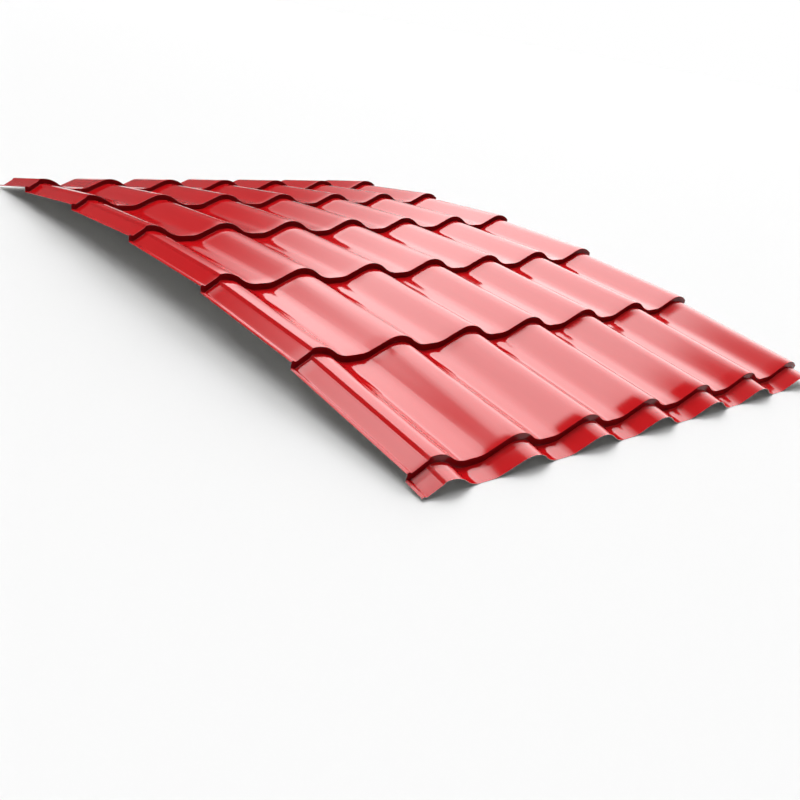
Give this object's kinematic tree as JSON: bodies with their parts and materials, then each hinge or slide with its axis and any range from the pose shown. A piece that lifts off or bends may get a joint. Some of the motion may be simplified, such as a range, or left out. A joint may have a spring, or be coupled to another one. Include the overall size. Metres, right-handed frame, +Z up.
{
  "type": "stepped metal roof tile sheet",
  "caption": "Bowed sheet of glossy red coated steel, pressed into rounded waves across its width and raised steps like rows of roof tiles along its length.",
  "frame": {"origin": "on the floor, under the middle of the sheet's outline", "axes": "+X across the waves towards the over-lapping side, +Y up the roof slope towards the rear end, +Z up"},
  "size_m": [1.189, 1.848, 0.1261],
  "materials": {
    "red_coated_steel": "glossy coil coating"
  },
  "bodies": {
    "root": {"roof_tile_sheet": "red_coated_steel"}
  },
  "joints": []
}
